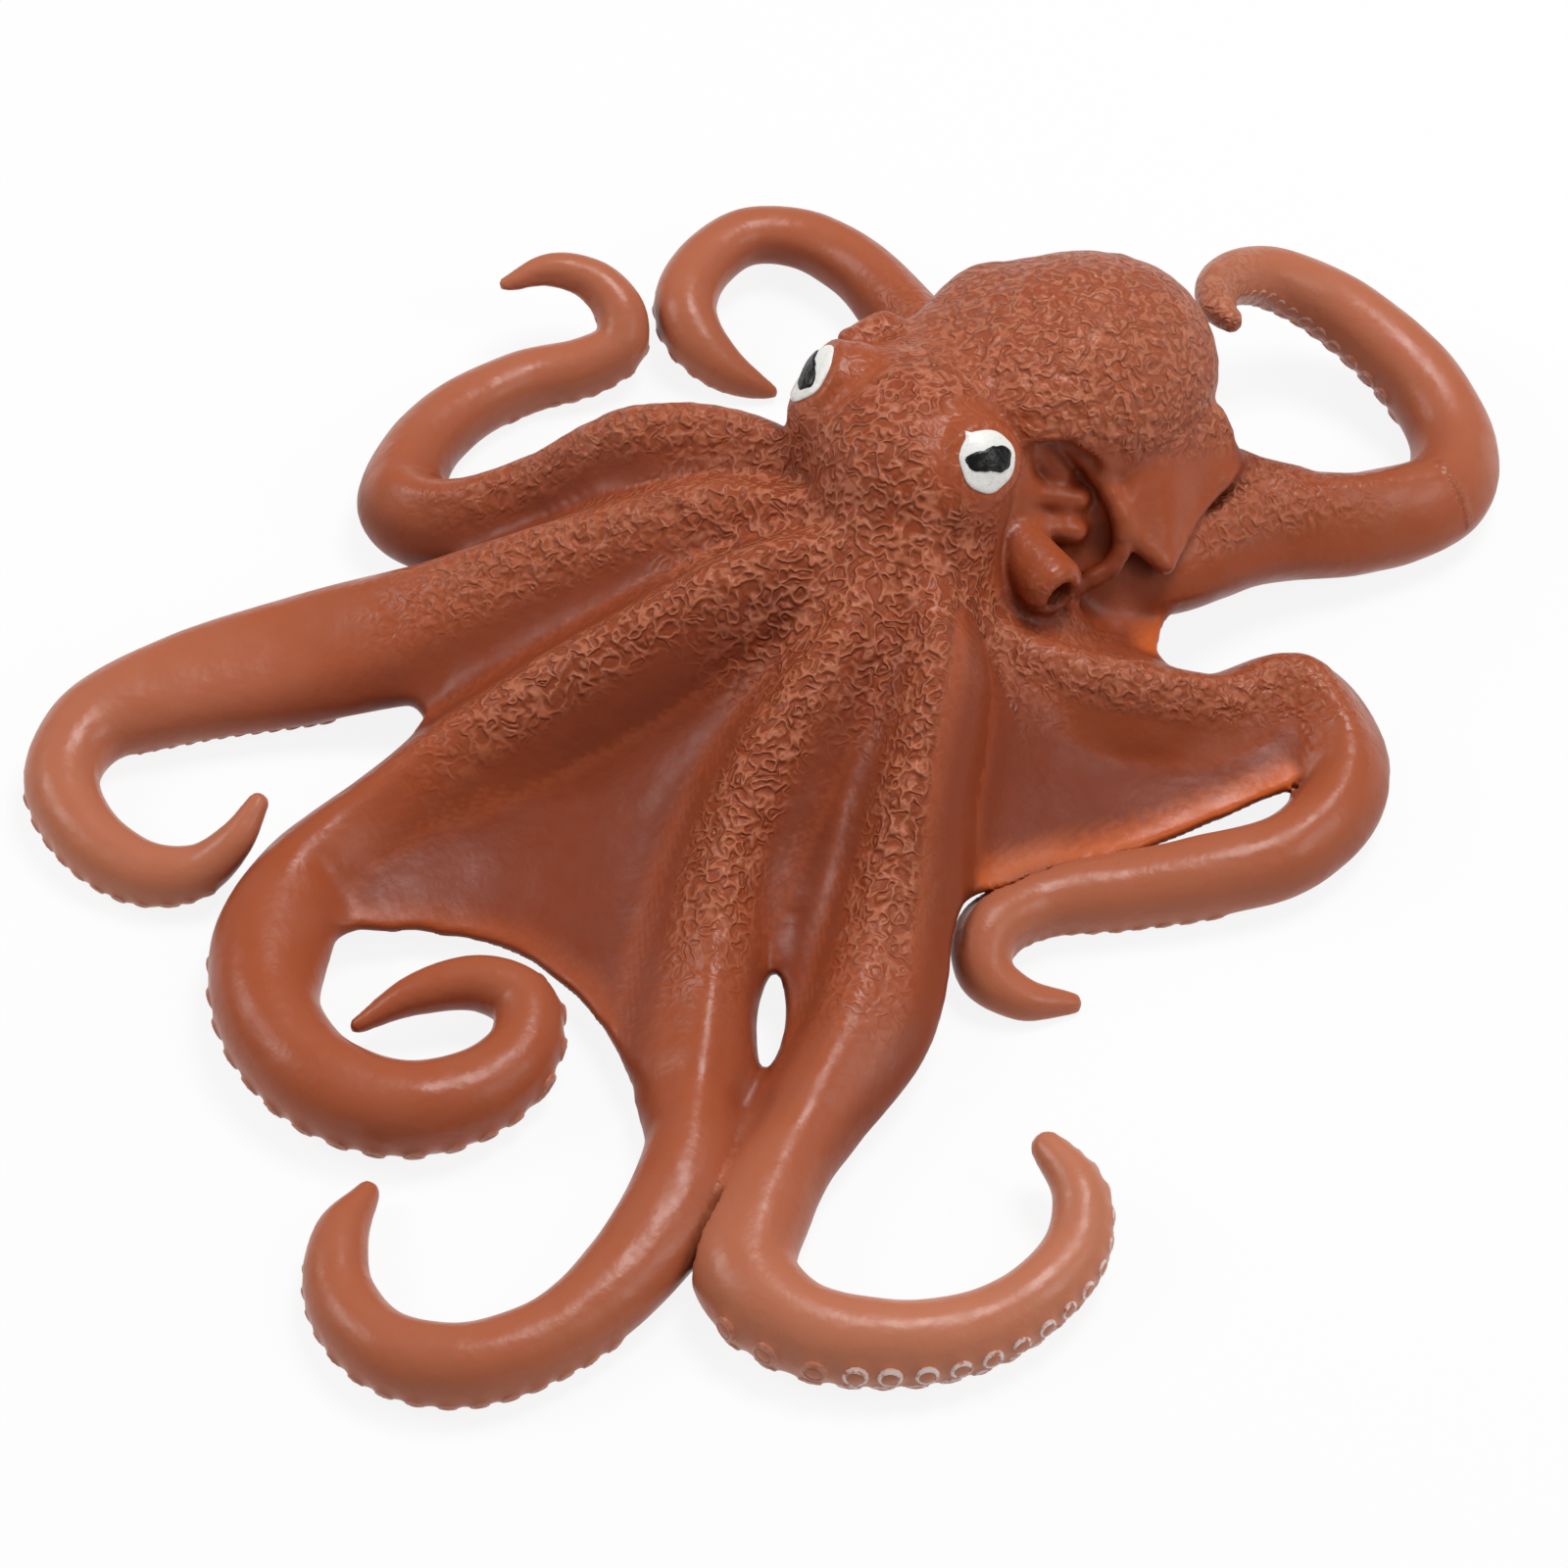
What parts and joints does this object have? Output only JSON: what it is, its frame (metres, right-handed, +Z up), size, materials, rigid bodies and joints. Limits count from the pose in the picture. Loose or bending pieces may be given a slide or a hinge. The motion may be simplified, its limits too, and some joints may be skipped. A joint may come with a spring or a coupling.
{
  "type": "toy octopus figure",
  "caption": "Soft plastic octopus figure with raised eyes, a bag-shaped mantle, a siphon and curling webbed arms whose free ends flex.",
  "frame": {"origin": "middle of the figure's box in plan, on the surface that it lies on", "axes": "+Z up; the figure faces -Y, with its mantle towards +X and +Y"},
  "size_m": [0.1884, 0.1885, 0.0453],
  "materials": {
    "skin": "semi-gloss moulded soft PVC, reddish brown",
    "eye_white": "white paint",
    "pupil": "black paint"
  },
  "bodies": {
    "figure": {"head": "skin", "crown": "skin", "mantle": "skin", "siphon": "skin", "eye_white_left": "eye_white", "eye_white_right": "eye_white", "pupil_left": "pupil", "pupil_right": "pupil", "arm_back_base": "skin", "arm_back_left_base": "skin", "arm_left_base": "skin", "arm_left_coil_base": "skin", "arm_front_left_base": "skin", "arm_front_right_base": "skin", "arm_right_fold_base": "skin", "arm_back_right_base": "skin", "web_back_left": "skin", "web_left_back": "skin", "web_left": "skin", "web_front_left": "skin", "web_front": "skin", "web_front_right": "skin", "web_right": "skin", "web_back_right": "skin"},
    "arm_back": {"arm_back_end": "skin"},
    "arm_back_left": {"arm_back_left_end": "skin"},
    "arm_left": {"arm_left_end": "skin"},
    "arm_left_coil": {"arm_left_coil_end": "skin"},
    "arm_front_left": {"arm_front_left_end": "skin"},
    "arm_front_right": {"arm_front_right_end": "skin"},
    "arm_right_fold": {"arm_right_fold_end": "skin"},
    "arm_back_right": {"arm_back_right_end": "skin"}
  },
  "joints": [
    {"name": "arm_back_flex", "type": "hinge", "parent": "figure", "child": "arm_back", "pos_m": [0.0099, 0.0852, 0.0051], "axis": [-0.3584, 0.9336, 0], "range_deg": [0, 20], "stiffness_Nm_per_rad": 0.12},
    {"name": "arm_back_left_flex", "type": "hinge", "parent": "figure", "child": "arm_back_left", "pos_m": [-0.0486, 0.053, 0.0046], "axis": [0.6947, -0.7193, 0], "range_deg": [0, 20], "stiffness_Nm_per_rad": 0.12},
    {"name": "arm_left_flex", "type": "hinge", "parent": "figure", "child": "arm_left", "pos_m": [-0.0622, 0.0186, 0.0055], "axis": [-0.7986, 0.6018, 0], "range_deg": [0, 20], "stiffness_Nm_per_rad": 0.12},
    {"name": "arm_left_coil_flex", "type": "hinge", "parent": "figure", "child": "arm_left_coil", "pos_m": [-0.0642, -0.029, 0.0049], "axis": [-0.7071, -0.7071, 0], "range_deg": [0, 20], "stiffness_Nm_per_rad": 0.12},
    {"name": "arm_front_left_flex", "type": "hinge", "parent": "figure", "child": "arm_front_left", "pos_m": [-0.0132, -0.0634, 0.0048], "axis": [-0.5878, 0.809, 0], "range_deg": [0, 20], "stiffness_Nm_per_rad": 0.12},
    {"name": "arm_front_right_flex", "type": "hinge", "parent": "figure", "child": "arm_front_right", "pos_m": [-0.0011, -0.0678, 0.0051], "axis": [-0.4848, -0.8746, 0], "range_deg": [0, 20], "stiffness_Nm_per_rad": 0.12},
    {"name": "arm_right_fold_flex", "type": "hinge", "parent": "figure", "child": "arm_right_fold", "pos_m": [0.0625, -0.015, 0.0049], "axis": [-0.309, 0.9511, 0], "range_deg": [0, 20], "stiffness_Nm_per_rad": 0.12},
    {"name": "arm_back_right_flex", "type": "hinge", "parent": "figure", "child": "arm_back_right", "pos_m": [0.0884, 0.0523, 0.0054], "axis": [0.682, 0.7314, 0], "range_deg": [0, 20], "stiffness_Nm_per_rad": 0.12}
  ]
}
